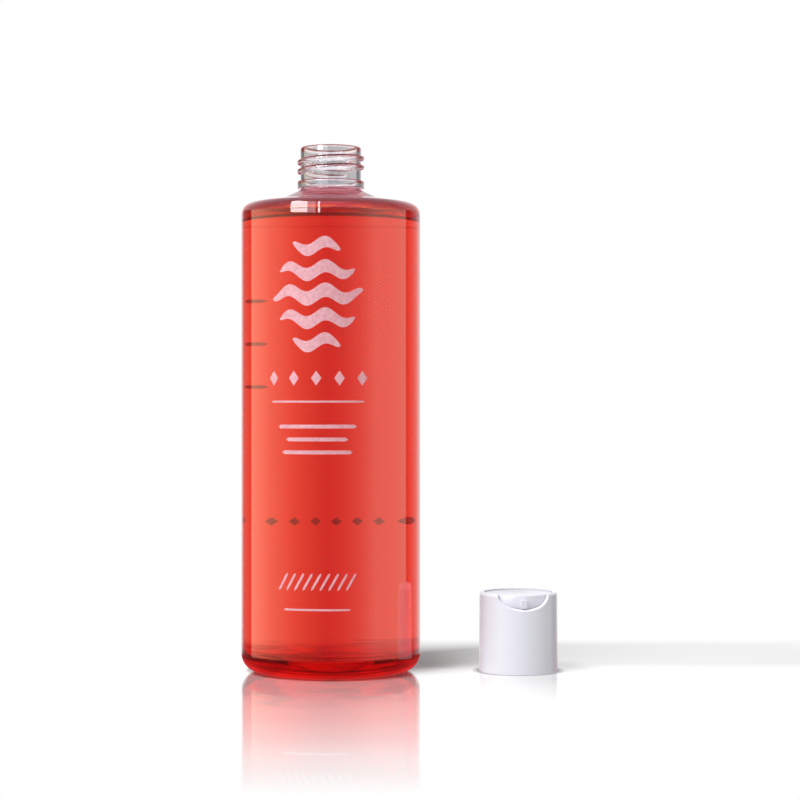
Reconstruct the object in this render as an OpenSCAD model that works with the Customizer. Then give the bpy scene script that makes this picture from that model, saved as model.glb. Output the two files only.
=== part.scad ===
// Clear round bottle with a screw neck, the liquid in it, and its press-top cap standing beside it.
// The origin is the centre of the bottle's base on the floor, and the neck points up (+Z).
// The cap's front is its -Y side before it is turned.

/* [Bottle body] */
// Outside diameter of the body
body_d = 63.5; // [58:0.5:70]
// Height of the shoulder's rounded edge above the floor
shoulder_h = 165.7; // [150:0.1:180]
// Radius of the shoulder's rounded edge
edge_r = 4; // [3:0.1:6]
// Radius of the rounded heel
heel_r = 6.5; // [4:0.1:8]
// Thickness of the side wall
wall = 0.7; // [0.5:0.05:1]
// Thickness of the base
base_t = 1; // [0.7:0.1:1.6]
// Diameter of the hollow under the base
push_up_d = 44; // [36:0.5:46]
// Height of the hollow under the base
push_up_h = 3; // [2:0.1:5]

/* [Shoulder and neck] */
// Rise of the shoulder from its rounded edge to the foot of the cone
shoulder_rise = 1.8; // [1:0.1:3]
// Diameter at the foot of the cone
cone_d = 34.6; // [30:0.1:38]
// Height of the cone
cone_rise = 3.05; // [2:0.05:4.5]
// Upright thickness of the shoulder's wall
shoulder_wall = 0.9; // [0.7:0.05:1.2]
// Outside diameter of the neck between its threads
neck_d = 21.55; // [21:0.05:22]
// Inside diameter of the neck
neck_bore_d = 18.6; // [17.5:0.1:19]
// Length of the neck above the cone
neck_len = 15.25; // [15:0.05:18]
// Radius of the rim's outer edge
rim_r = 0.8; // [0.4:0.1:1]
// Radius of the rim's inner edge
rim_in_r = 0.3; // [0.2:0.05:0.4]
// Diameter of the ring below the thread
bead_d = 23.85; // [23:0.05:24]
// Height of the ring below the thread
bead_h = 2.7; // [2:0.1:3]
// Distance of that ring's top below the rim
bead_drop = 12.1; // [12:0.05:13]
// Radius of that ring's edges
bead_r = 0.5; // [0.2:0.1:0.8]

/* [Thread] */
// Diameter over the thread
thread_d = 23.9; // [23.2:0.05:24]
// Rise of the thread in one turn
thread_pitch = 3.175; // [3:0.025:3.4]
// Width of the thread at its root
thread_w = 2.2; // [1.6:0.1:2.4]
// Number of turns
thread_turns = 2.03; // [1.5:0.01:2.1]
// Distance of the thread's lower end below the rim
thread_drop = 9.85; // [9.5:0.05:10.8]
// Angle of the thread's lower end, seen from above
thread_from = 50; // [0:5:355]
// Angle over which the thread rises from the wall at its ends
thread_fade = 32; // [15:1:60]

/* [Liquid] */
// Height of the liquid above the floor
fill_h = 158.9; // [60:0.1:162]
// Gap between the liquid and the wall
liquid_gap = 0.05; // [0.02:0.01:0.1]

/* [Cap] */
// Height of the cap
cap_h = 28; // [27:0.1:30]
// Wall of the cap round its thread
cap_wall = 1.8; // [1.4:0.05:2.2]
// Clearance of the cap's bore round the neck's thread
thread_clear = 0.2; // [0.1:0.05:0.3]
// Narrowing of the cap's outside from its foot to its top, on the radius
cap_draft = 0.15; // [0:0.05:0.3]
// Radius of the cap's top edge
cap_edge_r = 1.2; // [0.8:0.1:1.4]
// Wall of the ring round the disc
ring_wall = 1.55; // [1.4:0.05:1.8]
// Thickness of the deck that closes the thread's bore
deck_t = 1.3; // [1:0.1:1.8]
// Gap between the closed cap's foot and the bottle's cone
foot_clear = 0.6; // [0.4:0.1:1]
// Depth of the narrower seat round the neck's rim
seat_h = 2.6; // [2.5:0.1:3]
// Clearance of that seat round the neck
seat_clear = 0.52; // [0.3:0.02:0.7]
// Length of the sealing plug that enters the neck
plug_h = 2.4; // [1.5:0.1:2.4]
// Wall of the sealing plug
plug_wall = 0.9; // [0.7:0.1:1.2]
// Clearance of the sealing plug in the neck
plug_clear = 0.15; // [0.05:0.05:0.3]

/* [Scoop] */
// Half width of the scoop at the top of the ring
scoop_half_w = 9.1; // [8:0.1:9.5]
// Depth of the scoop at the cap's outside
scoop_depth = 5.8; // [4.5:0.1:6.2]
// Widening of the scoop for each millimetre outwards
scoop_flare = 0.35; // [0.1:0.05:0.5]
// Squareness of the scoop's curve, where 2 is an ellipse
scoop_square = 2.4; // [2:0.1:3]

/* [Disc] */
// Depth of the disc's top below the ring's top
disc_drop = 0.4; // [0.2:0.1:0.6]
// Thickness of the disc
disc_t = 1.5; // [1.3:0.1:1.6]
// Radius of the disc's top edge
disc_edge_r = 0.4; // [0.2:0.1:0.5]
// Running gap between the disc's round side and the ring
disc_gap = 0.25; // [0.2:0.05:0.4]
// Depth of the pivot's axis below the ring's top
pivot_drop = 2.6; // [2.4:0.1:3]
// Diameter of the pivot pins
pin_d = 1.8; // [1.4:0.1:2]
// Length of a pin inside the ring
pin_depth = 0.65; // [0.4:0.05:0.8]
// Clearance of a pin in its hole, on the radius
pin_clear = 0.05; // [0.02:0.01:0.09]
// Length of the lugs that carry the pins
lug_l = 2; // [1.5:0.1:3]
// Half width of the lugs, front to back
lug_half_w = 1.6; // [1.2:0.1:2]
// Thickness of the disc's curved front
apron_t = 1.1; // [0.8:0.1:1.4]
// Half width of the curved front
apron_half_w = 9.3; // [9:0.1:10]
// Gap between the foot of the curved front and the deck
apron_clear = 2.65; // [0.5:0.05:2.8]
// Width of the tab on the curved front
tab_w = 2; // [1.5:0.1:4]
// Reach of the tab from the pivot's axis
tab_reach = 12.9; // [12.5:0.1:13.1]
// Depth of the tab's top below the disc's plate
tab_drop = 0.15; // [0.05:0.05:0.5]
// Gap between the tab's foot and the scoop
tab_clear = 0.3; // [0.2:0.05:1]
// Diameter of the finger hollow
dish_d = 11; // [8:0.5:12]
// Depth of the finger hollow
dish_depth = 0.6; // [0.3:0.1:0.7]
// Distance of the finger hollow's centre behind the pivot
dish_back = 5.4; // [4:0.1:5.6]

/* [Spout] */
// Radius of the valve barrel under the disc
barrel_r = 3.8; // [3.5:0.1:4]
// Half length of the valve barrel
barrel_half_l = 4.4; // [3:0.1:5]
// Diameter of the channel
channel_d = 2.2; // [1.6:0.1:2.4]
// Wall of the spout round the channel
spout_wall = 0.8; // [0.6:0.1:0.8]
// Height of the closed spout's end above the foot of the curved front
spout_foot = 0.1; // [0:0.05:0.5]
// Angle of the closed barrel's inlet behind straight down
inlet_angle = 36; // [34:1:42]
// Wall of the deck's post round the channel
post_wall = 1.2; // [0.8:0.1:1.2]
// Running gap between the barrel and the post
post_gap = 0.1; // [0.05:0.01:0.15]
// Height of the post's rim above the barrel's lowest line
post_lip = 0.4; // [0.2:0.1:0.5]

/* [Place of the cap] */
// Gap between the bottle's side and the cap's side
cap_gap = 20.9; // [5:0.1:60]
// Turn of the cap, seen from above
cap_turn = 6.5; // [-180:0.5:180]

/* [Hidden] */
$fn = 96;
// Overrun of a cut past the surface that it opens
over = 1;
body_r = body_d / 2;
neck_r = neck_d / 2;
bore_r = neck_bore_d / 2;
cone_r = cone_d / 2;
cone_h = shoulder_h + shoulder_rise;
neck_h = cone_h + cone_rise;
rim_h = neck_h + neck_len;
cone_slope = cone_rise / (cone_r - neck_r);
push_up_r = (push_up_d * push_up_d / 4 + push_up_h * push_up_h) / (2 * push_up_h);
thread_steps = 48;
// How far the thread's root is sunk in the neck, and how far its inner side
thread_sink = 0.1;
thread_root = 0.4;
cap_bore_r = thread_d / 2 + thread_clear;
cap_r = cap_bore_r + cap_wall;
cap_top_r = cap_r - cap_draft;
ring_r = cap_top_r - ring_wall;
skirt_h = neck_len - foot_clear;
deck_h = skirt_h + deck_t;
seat_r = neck_r + seat_clear;
plug_r = bore_r - plug_clear;
cap_x = body_r + cap_gap + cap_r;
pivot_h = cap_h - pivot_drop;
disc_r = ring_r - disc_gap;
disc_top = cap_h - disc_drop;
disc_under = disc_top - disc_t;
pin_r = pin_d / 2;
pin_end = ring_r + pin_depth;
channel_r = channel_d / 2;
spout_r = channel_r + spout_wall;
// Depth of the disc's curved front below the pivot's axis
apron_drop = pivot_h - deck_h - apron_clear;
// Slope of the closed spout below level
spout_slope = asin((apron_drop - spout_foot - spout_r) / (disc_r - apron_t / 2));
post_r = channel_r + post_wall;
dish_r = (dish_d * dish_d / 4 + dish_depth * dish_depth) / (2 * dish_depth);

// Half of a round slab between two heights, with its outer edges rounded
module half_slab(r, low, high, low_r, high_r) {
    middle = (low + high) / 2;
    translate([0, low]) square([r - low_r, middle - low]);
    translate([0, middle]) square([r - high_r, high - middle]);
    translate([0, low + low_r]) square([r, high - low - low_r - high_r]);
    translate([r - low_r, low + low_r]) circle(low_r);
    translate([r - high_r, high - high_r]) circle(high_r);
}

// Half of the bottle's outside, without its thread
module bottle_outline() {
    half_slab(body_r, 0, shoulder_h, heel_r, edge_r);
    polygon([
        [0, shoulder_h - edge_r],
        [body_r - edge_r, shoulder_h - edge_r],
        [body_r - edge_r, shoulder_h],
        [cone_r, cone_h],
        [neck_r, neck_h],
        [0, neck_h]
    ]);
    translate([0, neck_h - over]) square([neck_r, neck_len + over - rim_r]);
    translate([0, rim_h - over]) square([neck_r - rim_r, over]);
    translate([neck_r - rim_r, rim_h - rim_r]) circle(rim_r);
    half_slab(bead_d / 2, rim_h - bead_drop - bead_h, rim_h - bead_drop, bead_r, bead_r);
}

// Half of the space inside the bottle below the neck, drawn in by a gap
module cavity_outline(gap) {
    inset = wall + gap;
    difference() {
        union() {
            half_slab(body_r - inset, base_t + gap, shoulder_h - shoulder_wall - gap,
                heel_r - inset, edge_r - inset);
            polygon([
                [0, shoulder_h - edge_r],
                [body_r - edge_r, shoulder_h - edge_r],
                [body_r - edge_r, shoulder_h - shoulder_wall - gap],
                [cone_r, cone_h - shoulder_wall - gap],
                [bore_r, neck_h - shoulder_wall - gap + cone_slope * (neck_r - bore_r)],
                [0, neck_h - shoulder_wall - gap + cone_slope * (neck_r - bore_r)]
            ]);
        }
        translate([0, push_up_h - push_up_r]) circle(push_up_r + base_t + gap);
    }
}

// One cross-section of the thread: distance out from the neck's wall and height, as shares
thread_section = [
    [0, -0.5], [0.62, -0.36], [0.93, -0.24], [1, -0.1],
    [1, 0.1], [0.93, 0.24], [0.62, 0.36], [0, 0.5]
];

function thread_rise(angle, whole) =
    let (from_end = min(angle, whole - angle))
    from_end >= thread_fade ? 1 : (1 - cos(180 * from_end / thread_fade)) / 2;

function thread_ring(angle, whole) = let (
    rise = thread_rise(angle, whole),
    turn = thread_from + angle,
    middle = rim_h - thread_drop + thread_pitch * angle / 360,
    depth = thread_d / 2 - neck_r + thread_sink
) concat(
    [for (p = thread_section)
        let (r = neck_r - thread_sink + p[0] * depth * rise)
        [r * cos(turn), r * sin(turn), middle + p[1] * thread_w]],
    [for (side = [0.5, -0.5])
        let (r = neck_r - thread_root)
        [r * cos(turn), r * sin(turn), middle + side * thread_w]]
);

// The raised screw thread, sunk a little into the neck
module thread() {
    whole = thread_turns * 360;
    rings = ceil(thread_turns * thread_steps);
    n = len(thread_section) + 2;
    points = [for (i = [0 : rings]) each thread_ring(whole * i / rings, whole)];
    sides = [for (i = [0 : rings - 1], k = [0 : n - 1]) each [
        [i * n + k, i * n + (k + 1) % n, (i + 1) * n + (k + 1) % n],
        [i * n + k, (i + 1) * n + (k + 1) % n, (i + 1) * n + k]
    ]];
    start = [for (k = [0 : n - 3]) [n - 1, k + 1, k]];
    end = [for (k = [0 : n - 3]) [rings * n + n - 1, rings * n + k, rings * n + k + 1]];
    polyhedron(points, concat(sides, start, end));
}

// The blown bottle: body, shoulder, neck, ring and thread in one piece
module bottle() {
    color([0.9, 0.92, 0.95, 0.35]) difference() {
        union() {
            rotate_extrude() difference() {
                bottle_outline();
                translate([0, push_up_h - push_up_r]) circle(push_up_r);
            }
            thread();
        }
        rotate_extrude() cavity_outline(0);
        translate([0, 0, neck_h - over]) cylinder(h = neck_len + 2 * over, r = bore_r);
        rotate_extrude() difference() {
            translate([0, rim_h - rim_in_r]) square([bore_r + rim_in_r, over]);
            translate([bore_r + rim_in_r, rim_h - rim_in_r]) circle(rim_in_r);
        }
    }
}

// The liquid, flat on top
module liquid() {
    color([0.85, 0.13, 0.08]) rotate_extrude() intersection() {
        cavity_outline(liquid_gap);
        square([body_r, fill_h]);
    }
}

// Puts the cap, built round the origin, where it stands
module at_cap() {
    translate([cap_x, 0, 0]) rotate([0, 0, cap_turn]) children();
}

// Half of the cap's outside
module cap_outline() {
    polygon([[0, 0], [cap_r, 0], [cap_top_r, cap_h - cap_edge_r], [0, cap_h - cap_edge_r]]);
    translate([0, cap_h - cap_edge_r - over]) square([cap_top_r - cap_edge_r, cap_edge_r + over]);
    translate([cap_top_r - cap_edge_r, cap_h - cap_edge_r]) circle(cap_edge_r);
}

// Half of the spaces in the cap: the thread's bore, the seat of the rim and the disc's well
module cap_spaces() {
    translate([0, -over]) square([cap_bore_r, skirt_h - seat_h + over]);
    translate([0, skirt_h - seat_h - over]) difference() {
        square([seat_r, seat_h + over]);
        translate([plug_r - plug_wall, seat_h - plug_h + over]) square([plug_wall, plug_h + over]);
    }
    translate([0, deck_h]) square([ring_r, cap_h - deck_h + over]);
}

// Outline of the scoop, its middle at the ring's top, with half width a and depth b
function scoop_curve(a, b) = concat(
    [[a, over], [-a, over]],
    [for (t = [180 : 10 : 360]) [
        a * sign(cos(t)) * pow(abs(cos(t)), 2 / scoop_square),
        b * sign(sin(t)) * pow(abs(sin(t)), 2 / scoop_square)
    ]]
);

// A thin slice of the scoop at a distance in front of the cap's axis
module scoop_slice(front) {
    side = sqrt(cap_top_r * cap_top_r - scoop_half_w * scoop_half_w);
    translate([0, -front, cap_h]) rotate([90, 0, 0]) linear_extrude(height = 0.01)
        polygon(scoop_curve(scoop_half_w + scoop_flare * (front - side),
            scoop_depth + scoop_flare * (front - cap_top_r)));
}

// A round bar from the pivot's axis, turned from straight up about that axis
module from_pivot(angle, length, r) {
    translate([0, 0, pivot_h]) rotate([angle, 0, 0]) cylinder(h = length, r = r);
}

// The cap's shell: threaded skirt, deck with its post, and the ring round the disc
module cap_body() {
    color("white") at_cap() difference() {
        union() {
            rotate_extrude() difference() {
                cap_outline();
                cap_spaces();
            }
            translate([0, 0, deck_h - deck_t / 2])
                cylinder(h = pivot_h - barrel_r + post_lip - deck_h + deck_t / 2, r = post_r);
        }
        hull() {
            scoop_slice(ring_r / 2);
            scoop_slice(cap_r + over);
        }
        translate([-pin_end - pin_clear, 0, pivot_h]) rotate([0, 90, 0])
            cylinder(h = 2 * (pin_end + pin_clear), r = pin_r + pin_clear);
        translate([-post_r - over, 0, pivot_h]) rotate([0, 90, 0])
            cylinder(h = 2 * (post_r + over), r = barrel_r + post_gap);
        from_pivot(90 + spout_slope, barrel_r + post_r, spout_r + post_gap);
        translate([0, 0, skirt_h - over]) cylinder(h = pivot_h - skirt_h, r = channel_r);
    }
}

// The round plate with its rounded top edge
module disc_plate() {
    edge_h = disc_top - disc_edge_r;
    edge_r = sqrt(disc_r * disc_r - pow(edge_h - pivot_h, 2));
    rotate_extrude() {
        intersection() {
            translate([0, pivot_h]) circle(disc_r);
            translate([0, disc_under]) square([disc_r, edge_h - disc_under]);
        }
        translate([0, edge_h]) square([edge_r - disc_edge_r, disc_edge_r]);
        intersection() {
            translate([edge_r - disc_edge_r, edge_h]) circle(disc_edge_r);
            translate([0, disc_under]) square([disc_r, disc_t]);
        }
    }
}

// The curved front that closes the scoop, part of a ball round the pivot
module disc_apron() {
    intersection() {
        translate([0, 0, pivot_h]) difference() {
            sphere(disc_r);
            sphere(disc_r - apron_t);
        }
        translate([-apron_half_w, -disc_r - over, pivot_h - apron_drop])
            cube([2 * apron_half_w, disc_r + over, apron_drop + disc_under - pivot_h + disc_t / 2]);
    }
}

// The pressed disc with its curved front, spout, valve barrel and pivot pins
module cap_disc() {
    tab_low = cap_h - scoop_depth + scoop_flare * (cap_top_r - ring_r) + tab_clear;
    lug_end = disc_r - lug_half_w * lug_half_w / disc_r;
    color("whitesmoke") at_cap() difference() {
        union() {
            disc_plate();
            disc_apron();
            translate([-tab_w / 2, -tab_reach, tab_low])
                cube([tab_w, tab_reach - disc_r + apron_t, disc_under - tab_drop - tab_low]);
            intersection() {
                translate([-barrel_half_l, 0, pivot_h]) rotate([0, 90, 0])
                    cylinder(h = 2 * barrel_half_l, r = barrel_r);
                translate([-barrel_half_l, -barrel_r, pivot_h - barrel_r])
                    cube([2 * barrel_half_l, 2 * barrel_r, disc_under + disc_t / 2 - pivot_h + barrel_r]);
            }
            from_pivot(90 + spout_slope, disc_r - apron_t / 2, spout_r);
            for (side = [-1, 1]) {
                translate([side * (lug_end - lug_l / 2), 0, (pivot_h - pin_r + disc_under) / 2 + disc_t / 4])
                    cube([lug_l, 2 * lug_half_w, disc_under - pivot_h + pin_r + disc_t / 2], center = true);
                translate([side * (lug_end - lug_l / 2), 0, pivot_h]) rotate([0, side * 90, 0])
                    cylinder(h = pin_end - lug_end + lug_l / 2, r = pin_r);
            }
        }
        from_pivot(90 + spout_slope, disc_r + over, channel_r);
        from_pivot(180 + inlet_angle, barrel_r + over, channel_r);
        translate([0, dish_back, disc_top - dish_depth + dish_r]) sphere(dish_r);
    }
}

bottle();
liquid();
cap_body();
cap_disc();
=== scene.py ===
"""The looks of the clear round bottle, the red liquid in it and the press-top cap beside it.

Every length below is in millimetres until MM turns it into metres. The bottle stands on z = 0 with its axis
on the Z axis, and the cap stands at its right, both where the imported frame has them.
"""

import math

import bmesh
import bpy
from mathutils import Matrix, Vector


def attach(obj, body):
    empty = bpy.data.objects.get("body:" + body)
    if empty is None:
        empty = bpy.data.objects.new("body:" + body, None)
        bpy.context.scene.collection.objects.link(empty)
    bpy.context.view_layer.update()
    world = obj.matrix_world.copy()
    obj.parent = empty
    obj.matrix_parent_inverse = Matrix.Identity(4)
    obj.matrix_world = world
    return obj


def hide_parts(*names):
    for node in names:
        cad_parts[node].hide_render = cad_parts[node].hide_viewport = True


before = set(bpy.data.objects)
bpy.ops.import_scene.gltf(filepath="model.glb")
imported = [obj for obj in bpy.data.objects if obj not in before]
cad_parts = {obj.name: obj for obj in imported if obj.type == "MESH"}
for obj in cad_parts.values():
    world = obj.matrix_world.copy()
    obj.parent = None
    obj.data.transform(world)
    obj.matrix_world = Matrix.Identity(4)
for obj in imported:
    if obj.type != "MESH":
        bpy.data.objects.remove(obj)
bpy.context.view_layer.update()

MM = 0.001
BOTTLE_AND_CAP = "bottle_and_cap"
ROUND_STEPS = 192

# The blown bottle
BODY_R = 31.75
WALL = 0.7
HEEL_R = 6.5
BASE_T = 1.0
PUSH_UP_R = 22.0
PUSH_UP_H = 3.0
DOME_R = (PUSH_UP_R**2 + PUSH_UP_H**2) / (2 * PUSH_UP_H)
DOME_Z = PUSH_UP_H - DOME_R
SHOULDER_H = 165.7
EDGE_R = 4.0
SHOULDER_WALL = 0.9
CONE_R = 17.3
CONE_H = 167.5
NECK_R = 10.775
NECK_H = 170.55
BORE_R = 9.3
RIM_H = 185.8
RIM_R = 0.8
RIM_IN_R = 0.3
BEAD_R = 11.925
BEAD_LOW = 171.0
BEAD_HIGH = 173.7
BEAD_EDGE_R = 0.5

# Its screw thread
THREAD_R = 11.95
THREAD_PITCH = 3.175
THREAD_W = 2.2
THREAD_TURNS = 2.03
THREAD_LOW = 175.95
THREAD_FROM = 50.0
THREAD_FADE = 32.0
THREAD_SINK = 0.1
THREAD_ROW = 0.12
# Half of its section: the share of its width off the middle, and how high it stands there
THREAD_SECTION = ((0.1, 1.0), (0.24, 0.93), (0.36, 0.62), (0.5, 0.0))

# The liquid, whose side lies inside the bottle's wall so that no air shows between them
LIQUID_INTO_WALL = 0.3
FILL_H = 158.9
MENISCUS_H = 0.9
MENISCUS_W = 0.9
MENISCUS_REACH = 4.8
MENISCUS_STEPS = 16

# The cap
CAP_X = 66.6
CAP_BORE_R = 12.15

# The thread inside the cap's skirt
CAP_THREAD_TURNS = 1.6
CAP_THREAD_STEPS = 96
CAP_THREAD_R = 11.25
CAP_THREAD_W = 2.0
CAP_THREAD_TIP_W = 0.5
CAP_THREAD_LOW = 3.2
CAP_THREAD_START = 0.6
CAP_THREAD_SINK = 0.3


# ---- Meshes -------------------------------------------------------------------------------------


def arc(centre_r, centre_z, radius, start, end, steps):
    """Points of an arc from one angle to another, both ends included."""
    return [
        (
            centre_r + radius * math.cos(math.radians(start + (end - start) * i / steps)),
            centre_z + radius * math.sin(math.radians(start + (end - start) * i / steps)),
        )
        for i in range(steps + 1)
    ]


def dome(radius, centre_z, from_r, to_r, steps):
    """Points along a wide dome from one distance off the axis to another."""
    return [
        (r, centre_z + math.sqrt(radius * radius - r * r))
        for r in (from_r + (to_r - from_r) * i / steps for i in range(steps + 1))
    ]


def with_support(points, reach=0.25):
    """Adds a point close to both ends of each long line, so that smooth shading stays on the curves."""
    supported = []
    for here, there in zip(points, points[1:]):
        supported.append(here)
        length = math.dist(here, there)
        if length > 6 * reach:
            for share in (reach / length, 1 - reach / length):
                supported.append(
                    (here[0] + (there[0] - here[0]) * share, here[1] + (there[1] - here[1]) * share)
                )
    return supported + [points[-1]]


def add_piece(name, mesh_maker, material, sharp=40.0):
    """Turns a finished bmesh into a smooth-shaded piece that rides with the bottle."""
    bmesh.ops.recalc_face_normals(mesh_maker, faces=mesh_maker.faces)
    mesh = bpy.data.meshes.new(name)
    mesh_maker.to_mesh(mesh)
    mesh_maker.free()
    mesh.shade_smooth()
    mesh.set_sharp_from_angle(angle=math.radians(sharp))
    mesh.materials.append(material)
    piece = bpy.data.objects.new(name, mesh)
    bpy.context.scene.collection.objects.link(piece)
    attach(piece, BOTTLE_AND_CAP)
    return piece


def spin_outline(points, steps=ROUND_STEPS):
    """A closed round shape from its outline, which starts and ends on the axis."""
    turned = bmesh.new()
    corners = [turned.verts.new((r * MM, 0, z * MM)) for r, z in points]
    edges = [turned.edges.new(pair) for pair in zip(corners, corners[1:])]
    bmesh.ops.spin(
        turned,
        geom=corners + edges,
        cent=(0, 0, 0),
        axis=(0, 0, 1),
        angle=math.tau,
        steps=steps,
        use_merge=True,
    )
    bmesh.ops.remove_doubles(turned, verts=turned.verts, dist=0.002 * MM)
    return turned


def bottle_outline():
    """The bottle's section from the middle of its underside, up outside, over the rim and down inside."""
    slope = (NECK_H - CONE_H) / (CONE_R - NECK_R)
    floor_r = math.sqrt((DOME_R + BASE_T) ** 2 - (BASE_T - DOME_Z) ** 2)
    shoulder = SHOULDER_H - EDGE_R
    heel_out = BODY_R - HEEL_R
    bead_r = BEAD_R - BEAD_EDGE_R
    points = dome(DOME_R, DOME_Z, 0, PUSH_UP_R, 8)
    points += arc(heel_out, HEEL_R, HEEL_R, -90, 0, 20)
    points += arc(BODY_R - EDGE_R, shoulder, EDGE_R, 0, 90, 20)
    points += [(CONE_R, CONE_H), (NECK_R, NECK_H), (NECK_R, BEAD_LOW)]
    points += arc(bead_r, BEAD_LOW + BEAD_EDGE_R, BEAD_EDGE_R, -90, 0, 5)
    points += arc(bead_r, BEAD_HIGH - BEAD_EDGE_R, BEAD_EDGE_R, 0, 90, 5)
    thread_foot = THREAD_LOW - THREAD_W / 2 - 0.1
    thread_rows = math.ceil((THREAD_TURNS * THREAD_PITCH + THREAD_W + 0.2) / THREAD_ROW)
    points += [(NECK_R, BEAD_HIGH)]
    points += [(NECK_R, thread_foot + i * THREAD_ROW) for i in range(thread_rows + 1)]
    points += arc(NECK_R - RIM_R, RIM_H - RIM_R, RIM_R, 0, 90, 8)
    points += arc(BORE_R + RIM_IN_R, RIM_H - RIM_IN_R, RIM_IN_R, 90, 180, 5)
    points += [(BORE_R, NECK_H - SHOULDER_WALL + slope * (NECK_R - BORE_R))]
    points += [(CONE_R, CONE_H - SHOULDER_WALL)]
    points += arc(BODY_R - EDGE_R, SHOULDER_H - SHOULDER_WALL - EDGE_R + WALL, EDGE_R - WALL, 90, 0, 18)
    points += arc(heel_out, BASE_T + HEEL_R - WALL, HEEL_R - WALL, 0, -90, 18)
    points += dome(DOME_R + BASE_T, DOME_Z, floor_r, 0, 8)
    return with_support(points)


def thread_height(angle, z):
    """How far the thread stands out of the neck at an angle and a height."""
    whole = THREAD_TURNS * 360
    highest = 0.0
    for turn in range(-1, 4):
        along = angle - THREAD_FROM + 360 * turn
        if not 0 <= along <= whole:
            continue
        off = abs(z - THREAD_LOW - THREAD_PITCH * along / 360) / THREAD_W
        share = 1.0 if off <= THREAD_SECTION[0][0] else 0.0
        for (low, high_share), (high, low_share) in zip(THREAD_SECTION, THREAD_SECTION[1:]):
            if low < off <= high:
                share = high_share + (low_share - high_share) * (off - low) / (high - low)
        from_end = min(along, whole - along)
        rise = (1 - math.cos(math.pi * min(1.0, from_end / THREAD_FADE))) / 2
        highest = max(highest, share * rise * (THREAD_R - NECK_R + THREAD_SINK) - THREAD_SINK)
    return highest


def make_bottle(material):
    """The clear bottle, with its thread pushed out of the neck's rows of corners."""
    bottle = spin_outline(bottle_outline())
    for corner in bottle.verts:
        x, y, z = corner.co / MM
        if abs(math.hypot(x, y) - NECK_R) < 0.01 and BEAD_HIGH < z < RIM_H - RIM_R:
            out = thread_height(math.degrees(math.atan2(y, x)), z)
            corner.co.x *= 1 + out / NECK_R
            corner.co.y *= 1 + out / NECK_R
    piece = add_piece("clear_bottle", bottle, material)
    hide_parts("bottle")


def make_liquid(material):
    """The red liquid, whose edge climbs the wall a little."""
    side_r = BODY_R - WALL + LIQUID_INTO_WALL
    low = BASE_T - LIQUID_INTO_WALL
    heel = HEEL_R - WALL + LIQUID_INTO_WALL
    floor_r = math.sqrt((DOME_R + low) ** 2 - (low - DOME_Z) ** 2)
    points = dome(DOME_R + low, DOME_Z, 0, floor_r, 8)
    points += arc(side_r - heel, low + heel, heel, -90, 0, 20)
    for i in range(MENISCUS_STEPS + 1):
        r = side_r - MENISCUS_REACH * (i / MENISCUS_STEPS) ** 1.5
        points.append((r, FILL_H + MENISCUS_H * math.exp(-(side_r - r) / MENISCUS_W)))
    points.append((0, FILL_H))
    piece = add_piece("red_liquid", spin_outline(with_support(points)), material)
    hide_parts("liquid")


# The print is a plain pattern of bars, waves and lozenges in a thin pale ink on the outside of the bottle
INK_R, INK_T = 31.764, 0.014
# Where the front print's middle is along the girth, and its waves' lengths and widths from the top down
PRINT_X = -4.0
WAVES = ((17, 4.2), (27, 4.6), (33, 5.0), (27, 4.6), (17, 4.2))


def ink_stroke(ink, across, up, length, width, wave=0.0, turn=0.0, taper=0.0):
    """One stroke laid flat: where its middle is along the girth and in height, its size, waves and slant."""
    steps = max(4, math.ceil(length / 0.9))
    made = bmesh.ops.create_grid(ink, x_segments=steps, y_segments=2, size=0.5)
    lean = math.radians(turn)
    for corner in made["verts"]:
        along, aside = corner.co.x, corner.co.y
        rounded = math.sqrt(max(0.0, 1 - (2 * abs(along)) ** (2 + 40 * (1 - taper))))
        along, aside = along * length, aside * width * rounded
        aside += wave * math.sin(along * math.tau / 13)
        corner.co.x = across + along * math.cos(lean) - aside * math.sin(lean)
        corner.co.z = up + along * math.sin(lean) + aside * math.cos(lean)
        corner.co.y = 0


def ink_lozenge(ink, across, up, size):
    """A square on its corner, laid flat."""
    made = bmesh.ops.create_grid(ink, x_segments=4, y_segments=4, size=size / 2)
    for corner in made["verts"]:
        x, y = corner.co.x, corner.co.y
        corner.co = (across + (x - y) * 0.6, 0, up + (x + y) * 0.85)


def finish_ink(name, ink, material):
    """Wraps flat strokes round the bottle, with the front at the camera's side, and thickens them."""
    for corner in ink.verts:
        angle = corner.co.x / INK_R
        corner.co = (INK_R * math.sin(angle) * MM, -INK_R * math.cos(angle) * MM, corner.co.z * MM)
    bmesh.ops.remove_doubles(ink, verts=ink.verts, dist=0.001 * MM)
    bmesh.ops.solidify(ink, geom=list(ink.faces), thickness=INK_T * MM)
    add_piece(name, ink, material)


def make_front_print(material):
    """Waves, lozenges, rules, bars and slanted strokes, from the top down."""
    ink = bmesh.new()
    for row, (length, width) in enumerate(WAVES):
        ink_stroke(ink, PRINT_X, 148.5 - 8.2 * row, length, width, wave=1.5, taper=1.0)
    for column in range(5):
        ink_lozenge(ink, -20.0 + 8.0 * column, 103.5, 3.0)
    ink_stroke(ink, PRINT_X, 95.5, 34.0, 0.7)
    for row, length in enumerate((28, 22, 25)):
        ink_stroke(ink, PRINT_X, 87.0 - 4.4 * row, length, 1.3)
    for column in range(9):
        ink_stroke(ink, -16.0 + 3.0 * column, 34.0, 7.0, 0.8, turn=60.0)
    ink_stroke(ink, PRINT_X, 24.5, 24.0, 0.7)
    finish_ink("front_print", ink, material)


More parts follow.
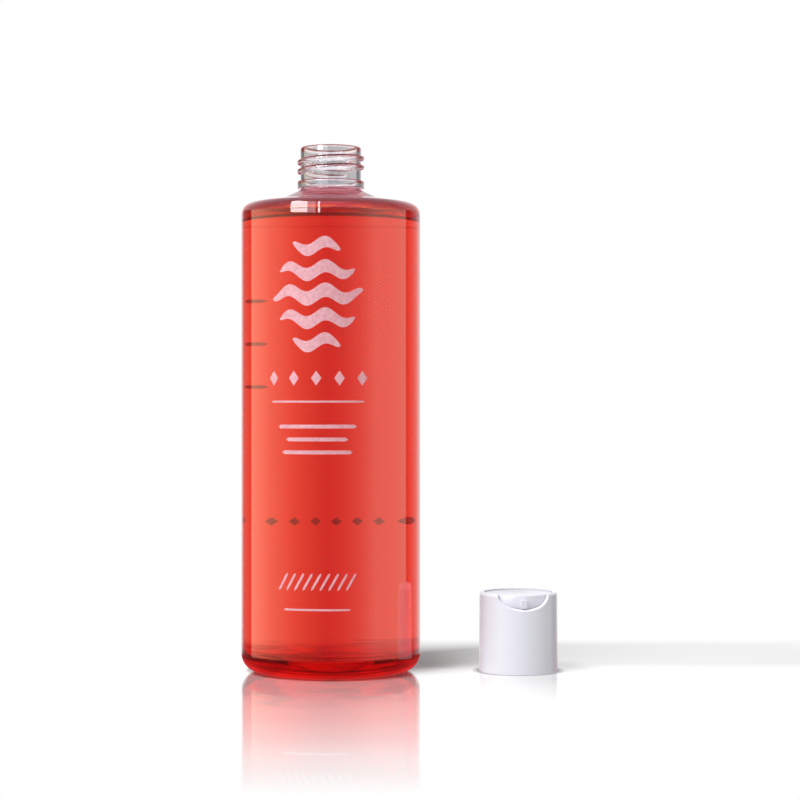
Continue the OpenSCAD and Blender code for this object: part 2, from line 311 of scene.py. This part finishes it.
def make_back_print(material):
    """Two columns of bars, and a row of lozenges between and below them."""
    ink = bmesh.new()
    middle = math.pi * INK_R
    for side, rows in ((middle - 21.0, 13), (middle + 19.0, 9)):
        for row in range(rows):
            shorter = row % 3
            ink_stroke(ink, side + 1.2 * shorter, 132.0 - 5.2 * row, 13.0 - 2.4 * shorter, 1.3)
    for column in range(7):
        ink_lozenge(ink, middle - 12.0 + 4.0 * column, 52.0, 1.8)
    finish_ink("back_print", ink, material)


# ---- Materials ----------------------------------------------------------------------------------


def new_material(name):
    """A material with its nodes, its Principled BSDF and its output."""
    material = bpy.data.materials.new(name)
    material.use_nodes = True
    nodes = material.node_tree.nodes
    return material, nodes, material.node_tree.links, nodes["Principled BSDF"], nodes["Material Output"]


def math_node(nodes, links, operation, *values):
    """A Math node whose inputs are numbers or other nodes' outputs."""
    node = nodes.new("ShaderNodeMath")
    node.operation = operation
    for socket, value in zip(node.inputs, values):
        if isinstance(value, (int, float)):
            socket.default_value = value
        else:
            links.new(value, socket)
    return node.outputs["Value"]


def ramp_node(nodes, links, fac, stops):
    """A ColorRamp through places from 0 to 1 and their colours."""
    node = nodes.new("ShaderNodeValToRGB")
    ramp = node.color_ramp
    ramp.elements.remove(ramp.elements[-1])
    ramp.elements[0].position = stops[0][0]
    ramp.elements[0].color = (*stops[0][1], 1)
    for position, colour in stops[1:]:
        ramp.elements.new(position).color = (*colour, 1)
    links.new(fac, node.inputs["Fac"])
    return node.outputs["Color"]


def scaled(nodes, links, colour, by):
    """A colour times a number or another node's number."""
    node = nodes.new("ShaderNodeVectorMath")
    node.operation = "SCALE"
    links.new(colour, node.inputs[0])
    if isinstance(by, (int, float)):
        node.inputs["Scale"].default_value = by
    else:
        links.new(by, node.inputs["Scale"])
    return node.outputs["Vector"]


def mixed(nodes, links, fac, low, high):
    """A Mix node of two colours, each a colour, a grey or another node's output."""
    mix = nodes.new("ShaderNodeMix")
    mix.data_type = "RGBA"
    links.new(fac, mix.inputs["Factor"])
    for name, source in (("A", low), ("B", high)):
        if isinstance(source, (int, float)):
            source = (source,) * 3
        if isinstance(source, tuple):
            mix.inputs[name].default_value = (*source, 1)
        else:
            links.new(source, mix.inputs[name])
    return mix.outputs["Result"]


def range_node(nodes, links, value, start, whole):
    """Zero at the first value, one at the second and even between them."""
    node = nodes.new("ShaderNodeMapRange")
    node.inputs["From Min"].default_value = start
    node.inputs["From Max"].default_value = whole
    links.new(value, node.inputs["Value"])
    return node.outputs["Result"]


def band_node(nodes, links, value, low, high):
    """One between two values and zero outside them."""
    return math_node(nodes, links, "COMPARE", value, (low + high) / 2, (high - low) / 2)


def parts_of(nodes, links, vector):
    """The X, Y and Z of a vector, by name."""
    apart = nodes.new("ShaderNodeSeparateXYZ")
    links.new(vector, apart.inputs["Vector"])
    return apart.outputs


def noise_node(nodes, links, vector, scale, detail, distortion=0.0):
    """A Noise Texture's value at each place."""
    noise = nodes.new("ShaderNodeTexNoise")
    noise.inputs["Scale"].default_value = scale
    noise.inputs["Detail"].default_value = detail
    noise.inputs["Distortion"].default_value = distortion
    links.new(vector, noise.inputs["Vector"])
    return noise.outputs["Fac"]


# How much of the lamps' light one clear surface lets through
LAMP_TINT = (0.7, 0.7, 0.7)
# Light thrown back more often than this goes straight on
MOST_THROWN = 2.5


def let_pass(nodes, links, shader, output, tint, lamps=True):
    """Lets go of light that was thrown about within, and lets the lamps shine through clear plastic."""
    path = nodes.new("ShaderNodeLightPath")
    passing = math_node(nodes, links, "GREATER_THAN", path.outputs["Glossy Depth"], MOST_THROWN)
    clear = nodes.new("ShaderNodeBsdfTransparent")
    if lamps:
        passing = math_node(nodes, links, "MAXIMUM", passing, path.outputs["Is Shadow Ray"])
        tint = mixed(nodes, links, path.outputs["Is Shadow Ray"], tint, LAMP_TINT)
    if isinstance(tint, tuple):
        clear.inputs["Color"].default_value = (*tint, 1)
    else:
        links.new(tint, clear.inputs["Color"])
    mix = nodes.new("ShaderNodeMixShader")
    links.new(passing, mix.inputs["Fac"])
    links.new(shader.outputs["BSDF"], mix.inputs[1])
    links.new(clear.outputs["BSDF"], mix.inputs[2])
    links.new(mix.outputs["Shader"], output.inputs["Surface"])


# Heights in millimetres and the tint painted on the plastic there: painted red light from the liquid in the
# base, the shoulder and the neck's foot, and painted grey shade up the neck
PAINTED_LIGHT_TINTS = (
    (0.0, (0.92, 0.12, 0.08)),
    (5.4, (0.93, 0.16, 0.11)),
    (6.6, (0.95, 0.4, 0.34)),
    (9.0, (1, 1, 1)),
    (158.6, (1, 1, 1)),
    (159.0, (0.84, 0.05, 0.02)),
    (161.5, (0.7, 0.05, 0.06)),
    (165.7, (0.74, 0.08, 0.14)),
    (166.6, (0.92, 0.2, 0.25)),
    (167.6, (0.93, 0.4, 0.45)),
    (169.4, (0.94, 0.42, 0.48)),
    (170.1, (0.9, 0.16, 0.25)),
    (170.8, (0.9, 0.3, 0.38)),
    (171.2, (0.905, 0.9, 0.935)),
    (187.0, (0.905, 0.875, 0.9)),
)
# Painted streaks and mottling of red light over those tints: heights, the noise they start and are whole at,
# and their tint
PAINTED_STREAKS = (
    (-1.0, 9.0, 0.44, 0.62, (0.62, 0.03, 0.13)),
    (158.95, 162.6, 0.48, 0.62, (1.0, 0.2, 0.05)),
)
PAINTED_STREAKS_SPREAD = (70, 70, 420)
# A painted deeper red, the liquid's light from below, on what faces up in the neck: its heights, the normal's
# Z it starts and is whole at, its tint
EDGE_HEIGHTS, EDGE_FACING, PAINTED_UPLIGHT_TINT = (170.8, 184.6), (0.12, 0.45), (0.62, 0.014, 0.06)
# The tint of light thrown about within, below and above this height
LOW_UP_TO, LOW_WITHIN, HIGH_WITHIN = 165, (1.0, 0.1, 0.07), (0.8, 0.755, 0.79)


def pet_material():
    """Clear plastic with painted light: tints by height for the red light of the liquid that shows in it and
    a grey shade in the neck, painted streaks, and a painted deeper red on what faces up in the neck.
    """
    material, nodes, links, shader, output = new_material("clear_pet")
    place = nodes.new("ShaderNodeTexCoord")
    up = parts_of(nodes, links, place.outputs["Object"])["Z"]
    # The plastic's tint by height is painted light: red from the liquid, and grey shade up the neck
    low, high = PAINTED_LIGHT_TINTS[0][0], PAINTED_LIGHT_TINTS[-1][0]
    stops = [((z - low) / (high - low), tint) for z, tint in PAINTED_LIGHT_TINTS]
    tint = ramp_node(nodes, links, range_node(nodes, links, up, low * MM, high * MM), stops)
    spread = nodes.new("ShaderNodeMapping")
    spread.inputs["Scale"].default_value = PAINTED_STREAKS_SPREAD
    links.new(place.outputs["Object"], spread.inputs["Vector"])
    streaks = noise_node(nodes, links, spread.outputs["Vector"], 1.0, 3.0, 0.6)
    # Painted streaks of red light under the base and at the shoulder, where the liquid meets the wall
    for low_z, high_z, at_least, at_most, colour in PAINTED_STREAKS:
        band = band_node(nodes, links, up, low_z * MM, high_z * MM)
        patchy = range_node(nodes, links, streaks, at_least, at_most)
        tint = mixed(nodes, links, math_node(nodes, links, "MULTIPLY", band, patchy), tint, colour)
    # Painted light: the up-facing thread flanks and ridges in the neck get a deeper red
    geometry = nodes.new("ShaderNodeNewGeometry")
    facing = parts_of(nodes, links, geometry.outputs["Normal"])["Z"]
    upward = range_node(nodes, links, facing, *EDGE_FACING)
    in_neck = band_node(nodes, links, up, EDGE_HEIGHTS[0] * MM, EDGE_HEIGHTS[1] * MM)
    painted_uplight = math_node(nodes, links, "MULTIPLY", upward, in_neck)
    links.new(mixed(nodes, links, painted_uplight, tint, PAINTED_UPLIGHT_TINT), shader.inputs["Base Color"])
    shader.inputs["Roughness"].default_value = 0.0
    shader.inputs["IOR"].default_value = 1.57
    shader.inputs["Transmission Weight"].default_value = 1.0
    high_up = math_node(nodes, links, "GREATER_THAN", up, LOW_UP_TO * MM)
    within = mixed(nodes, links, high_up, LOW_WITHIN, HIGH_WITHIN)
    let_pass(nodes, links, shader, output, within)
    return material


def liquid_material():
    """Clear water with a red dye, which darkens with depth."""
    material, nodes, links, shader, output = new_material("red_liquid")
    shader.inputs["Base Color"].default_value = (1, 1, 1, 1)
    shader.inputs["Roughness"].default_value = 0.0
    shader.inputs["IOR"].default_value = 1.34
    shader.inputs["Transmission Weight"].default_value = 1.0
    let_pass(nodes, links, shader, output, (0.9, 0.4, 0.4), lamps=False)
    dye = nodes.new("ShaderNodeVolumeAbsorption")
    dye.inputs["Color"].default_value = (0.9356, 0.243, 0.0933, 1)
    dye.inputs["Density"].default_value = 90.0
    links.new(dye.outputs["Volume"], output.inputs["Volume"])
    return material


def make_grain():
    """The fine grain of moulded plastic as a normal, built once and placed in each white material."""
    group = bpy.data.node_groups.new("moulded_grain", "ShaderNodeTree")
    for name in ("Scale", "Strength"):
        group.interface.new_socket(name, in_out="INPUT", socket_type="NodeSocketFloat")
    group.interface.new_socket("Normal", in_out="OUTPUT", socket_type="NodeSocketVector")
    nodes, links = group.nodes, group.links
    given, result = nodes.new("NodeGroupInput"), nodes.new("NodeGroupOutput")
    place = nodes.new("ShaderNodeTexCoord")
    grain = nodes.new("ShaderNodeTexNoise")
    grain.inputs["Detail"].default_value = 2.0
    links.new(place.outputs["Object"], grain.inputs["Vector"])
    links.new(given.outputs["Scale"], grain.inputs["Scale"])
    bump = nodes.new("ShaderNodeBump")
    bump.inputs["Distance"].default_value = 0.02 * MM
    links.new(given.outputs["Strength"], bump.inputs["Strength"])
    links.new(grain.outputs["Fac"], bump.inputs["Height"])
    links.new(bump.outputs["Normal"], result.inputs["Normal"])
    return group


def white_plastic(name, colour, roughness, grain_group):
    """White moulded plastic."""
    material, nodes, links, shader, output = new_material(name)
    shader.inputs["Base Color"].default_value = (*colour, 1)
    shader.inputs["Roughness"].default_value = roughness
    shader.inputs["IOR"].default_value = 1.49
    grain = nodes.new("ShaderNodeGroup")
    grain.node_tree = grain_group
    grain.inputs["Scale"].default_value = 2500.0
    grain.inputs["Strength"].default_value = 0.15
    links.new(grain.outputs["Normal"], shader.inputs["Normal"])
    return material


def ink_material():
    """Pale ink that lets some of the red through, with the fine unevenness of a screen print."""
    material, nodes, links, shader, output = new_material("pale_ink")
    shader.inputs["Base Color"].default_value = (0.93, 0.62, 0.7, 1)
    shader.inputs["Roughness"].default_value = 0.45
    shader.inputs["IOR"].default_value = 1.48
    place = nodes.new("ShaderNodeTexCoord")
    cover = noise_node(nodes, links, place.outputs["Object"], 900.0, 3.0)
    amount = nodes.new("ShaderNodeMapRange")
    amount.inputs["From Min"].default_value = 0.3
    amount.inputs["From Max"].default_value = 0.7
    amount.inputs["To Min"].default_value = 0.42
    amount.inputs["To Max"].default_value = 0.58
    links.new(cover, amount.inputs["Value"])
    links.new(amount.outputs["Result"], shader.inputs["Alpha"])
    return material


# ---- Cap ----------------------------------------------------------------------------------------


def make_cap_thread(material):
    """The thread inside the cap's skirt: a ridge swept up the bore by a spin that climbs."""
    ridge = bmesh.new()
    foot_r, foot, tip = CAP_BORE_R + CAP_THREAD_SINK, CAP_THREAD_W / 2, CAP_THREAD_TIP_W / 2
    section = [(foot_r, -foot), (CAP_THREAD_R, -tip), (CAP_THREAD_R, tip), (foot_r, foot)]
    corners = [ridge.verts.new((r * MM, 0, z * MM)) for r, z in section]
    face = ridge.faces.new(corners)
    bmesh.ops.spin(
        ridge,
        geom=[face],
        cent=(0, 0, 0),
        axis=(0, 0, 1),
        dvec=(0, 0, THREAD_PITCH * CAP_THREAD_TURNS / CAP_THREAD_STEPS * MM),
        angle=math.tau * CAP_THREAD_TURNS,
        steps=CAP_THREAD_STEPS,
    )
    start = Matrix.Translation(Vector((CAP_X, 0, CAP_THREAD_LOW)) * MM)
    bmesh.ops.transform(
        ridge, matrix=start @ Matrix.Rotation(CAP_THREAD_START, 4, "Z"), verts=ridge.verts
    )
    add_piece("cap_inner_thread", ridge, material)


# ---- Camera, world, lamps and floor -------------------------------------------------------------

# The camera is level and looks along Y, in millimetres as all the rest
CAMERA_PLACE, CAMERA_LENS = (24.57, -740.0, 96.05), 93.67


def make_camera():
    """The camera that takes the picture."""
    data = bpy.data.cameras.new("camera")
    data.sensor_width = 36.0
    data.lens = CAMERA_LENS
    data.clip_start, data.clip_end = 0.01, 20
    camera = bpy.data.objects.new("camera", data)
    camera.location = Vector(CAMERA_PLACE) * MM
    camera.rotation_euler = (math.pi / 2, 0, 0)
    bpy.context.scene.collection.objects.link(camera)
    bpy.context.scene.camera = camera


# Azimuths in degrees from the camera's side, negative to the left, and the studio's brightness and tint there
WARM, MILD, WHITE = (1.0, 0.97, 0.66), (1.0, 0.95, 0.78), (1.0, 1.0, 1.0)
SOFTBOXES = (
    (-180, 1.0, WHITE),
    (-155, 1.0, WHITE),
    (-151, 0.3, WHITE),
    (-122, 0.05, WARM),
    (-120, 1.8, WARM),
    (-96, 2.0, WARM),
    (-69, 1.5, WARM),
    (-45, 0.86, WARM),
    (-24, 0.56, WARM),
    (-3, 0.3, WHITE),
    (17, 0.5, MILD),
    (39, 0.95, MILD),
    (61, 1.9, MILD),
    (87, 1.73, MILD),
    (113, 1.5, MILD),
    (115, 0.05, WHITE),
    (122, 0.1, WHITE),
    (138, 0.45, WHITE),
    (151, 0.8, WHITE),
    (160, 1.0, WHITE),
    (180, 1.0, WHITE),
)
# The same for what is seen straight through the plastic and the liquid
BACKDROP = (
    (-180, 1.03, WHITE),
    (-175, 1.05, WHITE),
    (-170, 1.11, WHITE),
    (-155, 1.14, WHITE),
    (-145, 1.05, WHITE),
    (-140, 1.4, WHITE),
    (-121, 1.33, WHITE),
    (-60, 1.0, WHITE),
    (100, 1.1, WHITE),
    (128, 1.5, WHITE),
    (136, 1.5, WHITE),
    (142, 1.39, WHITE),
    (151, 1.35, WHITE),
    (161, 1.28, WHITE),
    (168, 1.26, WHITE),
    (174, 1.13, WHITE),
    (180, 1.03, WHITE),
)
BRIGHTEST = 3.0
# Elevations in degrees and how bright the backdrop is there, seen through the plastic
BACKDROP_HEIGHTS = ((-90, 1.0), (4.9, 1.0), (5.8, 0.46), (7.15, 0.46), (7.6, 1.0), (90, 1.0))
# Lamps that show only as highlights: the azimuths that a wall showing them faces, elevations and strength
HIGHLIGHTS = (
    ((-23.8, -12.6), (5.15, 5.85), 14.0),
    ((-12.6, -7.3), (5.15, 5.85), 4.0),
    ((-5.8, -4.5), (5.15, 5.85), 14.0),
    ((-23.8, -12.6), (7.2, 66.0), 14.0),
    ((-12.6, -7.3), (7.2, 66.0), 4.0),
    ((-5.8, -4.5), (7.2, 66.0), 14.0),
    ((-22.5, -3.5), (5.85, 7.2), 3.2),
    ((-4.5, 36.0), (7.5, 9.0), 3.0),
)
# From the camera a wall faces halfway between a lamp and this direction: its X, and its Y turned round
CAMERA_X, CAMERA_Y = 0.05, 0.995
# The light overhead: the elevations it starts at and is whole at, and its strength in front and behind
CEILING_FROM, CEILING_TO = 9.0, 14.0
CEILING_FRONT, CEILING_BACK = 1.0, 0.8
# Light from below, where the floor mirrors the red bottle: the elevations it starts at and is whole at,
# seen through the plastic and as a gloss
RED_BELOW, THROUGH_BELOW, GLOSS_BELOW = (0.52, 0.07, 0.07), (-7.3, -10.0), (-6.6, -7.5)
# What a clear wall throws back from within: the red of the liquid, and grey up in the neck
THROWN_BACK, THROWN_BACK_HIGH, THROWN_HIGH_UP = (0.3, 0.025, 0.03), (0.24, 0.225, 0.235), (5.3, 5.8)
# A wall is near the surface while light has gone through fewer surfaces than this
NEAR_SURFACE = 4.5
# The plain fill on matt surfaces, how much brighter it is from the left, and how much darker from above
STUDIO_FILL, FILL_LEAN, FILL_TOP = 0.64, 0.27, 0.2


def round_about(nodes, links, share, stops):
    """The studio's light all round, as a colour that may be brighter than white."""
    stops = [(a / 360 + 0.5, [v * c / BRIGHTEST for c in tint]) for a, v, tint in stops]
    return scaled(nodes, links, ramp_node(nodes, links, share, stops), BRIGHTEST)


def came_back(nodes, links, path):
    """One for light that a clear wall near the surface threw back."""
    shallow = math_node(nodes, links, "LESS_THAN", path.outputs["Transmission Depth"], NEAR_SURFACE)
    thrown = math_node(nodes, links, "GREATER_THAN", path.outputs["Glossy Depth"], 0.5)
    return math_node(nodes, links, "MULTIPLY", shallow, thrown)


def make_world():
    """The studio as each kind of ray sees it: softboxes, backdrop, highlights, fill or plain white."""
    world = bpy.data.worlds.new("studio")
    bpy.context.scene.world = world
    world.use_nodes = True
    world.cycles.sampling_method = "NONE"
    nodes, links = world.node_tree.nodes, world.node_tree.links
    place = nodes.new("ShaderNodeTexCoord")
    toward = parts_of(nodes, links, place.outputs["Generated"])
    back = math_node(nodes, links, "MULTIPLY", toward["Y"], -1.0)
    azimuth = math_node(nodes, links, "ARCTAN2", toward["X"], back)
    share = math_node(nodes, links, "MULTIPLY_ADD", azimuth, 1 / math.tau, 0.5)
    glossy = round_about(nodes, links, share, SOFTBOXES)
    through = round_about(nodes, links, share, BACKDROP)
    height = math_node(nodes, links, "MULTIPLY_ADD", toward["Z"], 0.5, 0.5)
    heights = [(math.sin(math.radians(e)) / 2 + 0.5, (v, v, v)) for e, v in BACKDROP_HEIGHTS]
    through = scaled(nodes, links, through, ramp_node(nodes, links, height, heights))

    def rising(start, whole):
        """Zero at the first elevation and one at the second."""
        low, high = (math.sin(math.radians(e)) for e in (start, whole))
        return range_node(nodes, links, toward["Z"], low, high)

    behind = math_node(nodes, links, "GREATER_THAN", toward["Y"], 0.0)
    overhead = mixed(nodes, links, behind, CEILING_FRONT, CEILING_BACK)
    glossy = mixed(nodes, links, rising(CEILING_FROM, CEILING_TO), glossy, overhead)
    path = nodes.new("ShaderNodeLightPath")
    first_gloss = math_node(nodes, links, "LESS_THAN", path.outputs["Glossy Depth"], 1.5)
    in_front = math_node(nodes, links, "LESS_THAN", toward["Y"], 0.0)
    may_shine = math_node(nodes, links, "MULTIPLY", first_gloss, in_front)
    sideways = math_node(nodes, links, "ADD", toward["X"], CAMERA_X)
    forward = math_node(nodes, links, "SUBTRACT", CAMERA_Y, toward["Y"])
    facing = math_node(nodes, links, "ARCTAN2", sideways, forward)
    for azimuths, elevations, strength in HIGHLIGHTS:
        across = band_node(nodes, links, facing, *(math.radians(a) for a in azimuths))
        upright = band_node(nodes, links, toward["Z"], *(math.sin(math.radians(e)) for e in elevations))
        lit = math_node(nodes, links, "MULTIPLY", across, upright)
        lit = math_node(nodes, links, "MULTIPLY", lit, may_shine)
        glossy = mixed(nodes, links, lit, glossy, strength)
    glossy = mixed(nodes, links, rising(*GLOSS_BELOW), glossy, RED_BELOW)
    through = mixed(nodes, links, rising(*THROUGH_BELOW), through, RED_BELOW)
    thrown = mixed(nodes, links, rising(*THROWN_HIGH_UP), THROWN_BACK, THROWN_BACK_HIGH)
    through = mixed(nodes, links, came_back(nodes, links, path), through, thrown)
    light = math_node(nodes, links, "MULTIPLY_ADD", toward["X"], -FILL_LEAN, STUDIO_FILL)
    light = math_node(nodes, links, "MULTIPLY_ADD", toward["Z"], -FILL_TOP, light)
    rays = (("Is Glossy Ray", glossy), ("Is Transmission Ray", through), ("Is Camera Ray", 1.0))
    for kind, value in rays:
        light = mixed(nodes, links, path.outputs[kind], light, value)
    background = nodes["Background"]
    background.inputs["Strength"].default_value = 1.0
    links.new(light, background.inputs["Color"])


def make_key_lamp():
    """The lamp high at the left in front, which throws the shadow to the right."""
    data = bpy.data.lights.new("key_lamp", "AREA")
    data.shape = "RECTANGLE"
    data.size, data.size_y = 0.34, 0.34
    data.energy = 7.9
    lamp = bpy.data.objects.new("key_lamp", data)
    lamp.location = (-0.3, -0.33, 0.92)
    aim = Vector((0.02, 0, 0.08)) - lamp.location
    lamp.rotation_mode = "QUATERNION"
    lamp.rotation_quaternion = aim.to_track_quat("-Z", "Y")
    lamp.visible_glossy = False
    lamp.visible_transmission = False
    lamp.visible_camera = False
    bpy.context.scene.collection.objects.link(lamp)


# Distances in millimetres from the bottle's and the cap's axis, and how strongly the floor mirrors there
BOTTLE_MIRRORED = (
    (0, 0.8),
    (50, 0.79),
    (73, 0.74),
    (115, 0.65),
    (152, 0.5),
    (185, 0.27),
    (214, 0.11),
    (234, 0.0),
)
CAP_MIRRORED = ((0, 0.55), (26, 0.5), (50, 0.27), (73, 0.13), (95, 0.05), (110, 0.0))
# A painted contact shadow, a thin dark line where each stands: its axis, the circles it is whole at and ends
# at, and its colour
PAINTED_CONTACT_SHADOWS = ((0, 25.2, 27.6, (0.2, 0.02, 0.02)), (CAP_X, 14.2, 17.0, (0.4, 0.39, 0.43)))
# The matt white of the floor, and the darker grey of a painted shadow behind the bottle, where the cast
# shadow lies
MATT_WHITE, PAINTED_SHADOW_GREY = 1.04, 0.74
FLOOR_DROP = 0.02


def make_floor():
    """The white floor: matt with a shadow near the two, deepened by a painted shadow behind the bottle and
    painted contact lines, and lightened to plain white far off, far behind and partly to the right; a fading
    mirror in front.
    """
    mesh_maker = bmesh.new()
    bmesh.ops.create_grid(mesh_maker, x_segments=1, y_segments=1, size=4.0)
    mesh = bpy.data.meshes.new("floor")
    mesh_maker.to_mesh(mesh)
    mesh_maker.free()
    floor = bpy.data.objects.new("floor", mesh)
    bpy.context.scene.collection.objects.link(floor)
    floor.location.z = -FLOOR_DROP * MM
    material, nodes, links, _, output = new_material("white_floor")
    nodes.remove(nodes["Principled BSDF"])
    place = nodes.new("ShaderNodeTexCoord")
    spot = parts_of(nodes, links, place.outputs["Object"])

    def away(centre_x):
        """The distance from a point on the floor in front of the camera."""
        distance = nodes.new("ShaderNodeVectorMath")
        distance.operation = "DISTANCE"
        distance.inputs[1].default_value = (centre_x * MM, 0, 0)
        links.new(place.outputs["Object"], distance.inputs[0])
        return distance.outputs["Value"]

    def fade(value, near, far):
        """Zero at the near length and one at the far one."""
        return range_node(nodes, links, value, near * MM, far * MM)

    def mirrored(centre_x, strengths):
        """How strongly the floor mirrors at each distance from one of the two axes."""
        reach = strengths[-1][0]
        stops = [(length / reach, (v, v, v)) for length, v in strengths]
        return ramp_node(nodes, links, fade(away(centre_x), 0, reach), stops)

    matt = nodes.new("ShaderNodeBsdfDiffuse")
    # A painted shadow: the floor turns darker grey behind the bottle and to its right
    behind = math_node(nodes, links, "MULTIPLY", fade(spot["Y"], 2, 20), fade(spot["X"], -20, 10))
    links.new(mixed(nodes, links, behind, MATT_WHITE, PAINTED_SHADOW_GREY), matt.inputs["Color"])
    white = nodes.new("ShaderNodeEmission")
    path = nodes.new("ShaderNodeLightPath")
    far = nodes.new("ShaderNodeMixShader")
    # Painted light over the shadow: the floor turns plain white far off, far behind, and partly to the right
    # of the bottle
    plain = math_node(nodes, links, "MAXIMUM", fade(away(25), 110, 200), fade(spot["Y"], 50, 95))
    rightward = math_node(nodes, links, "MULTIPLY", fade(spot["X"], 36, 70), 0.55)
    plain = math_node(nodes, links, "MAXIMUM", plain, rightward)
    links.new(plain, far.inputs["Fac"])
    links.new(matt.outputs["BSDF"], far.inputs[1])
    links.new(white.outputs["Emission"], far.inputs[2])
    mirror = nodes.new("ShaderNodeBsdfGlossy")
    mirror.inputs["Color"].default_value = (1, 1, 1, 1)
    mirror.inputs["Roughness"].default_value = 0.02
    glazed = nodes.new("ShaderNodeMixShader")
    beside = fade(spot["X"], 38, 50)
    strength = mixed(
        nodes, links, beside, mirrored(0, BOTTLE_MIRRORED), mirrored(CAP_X, CAP_MIRRORED)
    )
    in_front = fade(spot["Y"], 10, -12)
    links.new(scaled(nodes, links, strength, in_front), glazed.inputs["Fac"])
    links.new(far.outputs["Shader"], glazed.inputs[1])
    links.new(mirror.outputs["BSDF"], glazed.inputs[2])
    standing = glazed
    # Painted contact shadows: a dark ring on the floor round each foot
    for centre_x, inner, outer, colour in PAINTED_CONTACT_SHADOWS:
        painted_shade = nodes.new("ShaderNodeEmission")
        painted_shade.inputs["Color"].default_value = (*colour, 1)
        touching = nodes.new("ShaderNodeMixShader")
        links.new(fade(away(centre_x), outer, inner), touching.inputs["Fac"])
        links.new(standing.outputs["Shader"], touching.inputs[1])
        links.new(painted_shade.outputs["Emission"], touching.inputs[2])
        standing = touching
    unseen = nodes.new("ShaderNodeMixShader")
    clear = nodes.new("ShaderNodeBsdfTransparent")
    links.new(came_back(nodes, links, path), unseen.inputs["Fac"])
    links.new(standing.outputs["Shader"], unseen.inputs[1])
    links.new(clear.outputs["BSDF"], unseen.inputs[2])
    links.new(unseen.outputs["Shader"], output.inputs["Surface"])
    mesh.materials.append(material)
    floor.visible_transmission = False
    floor.visible_glossy = False
    floor.visible_diffuse = False
    floor.visible_shadow = False


make_camera()
make_world()
make_key_lamp()
make_floor()
bpy.context.scene.view_settings.view_transform = "Standard"

pet = pet_material()
dye = liquid_material()
grain = make_grain()
cap_white = white_plastic("cap_white", (0.9, 0.905, 0.985), 0.2, grain)
# The disc's white is a darker copy of the cap's: painted shade that keeps its up-facing top from lighting to
# pure white
disc_white = white_plastic("disc_white", (0.86, 0.86, 0.945), 0.3, grain)
for node, material in (("cap_body", cap_white), ("cap_disc", disc_white)):
    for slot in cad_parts[node].material_slots:
        slot.material = material
make_bottle(pet)
make_liquid(dye)
make_cap_thread(cap_white)
ink = ink_material()
make_front_print(ink)
make_back_print(ink)
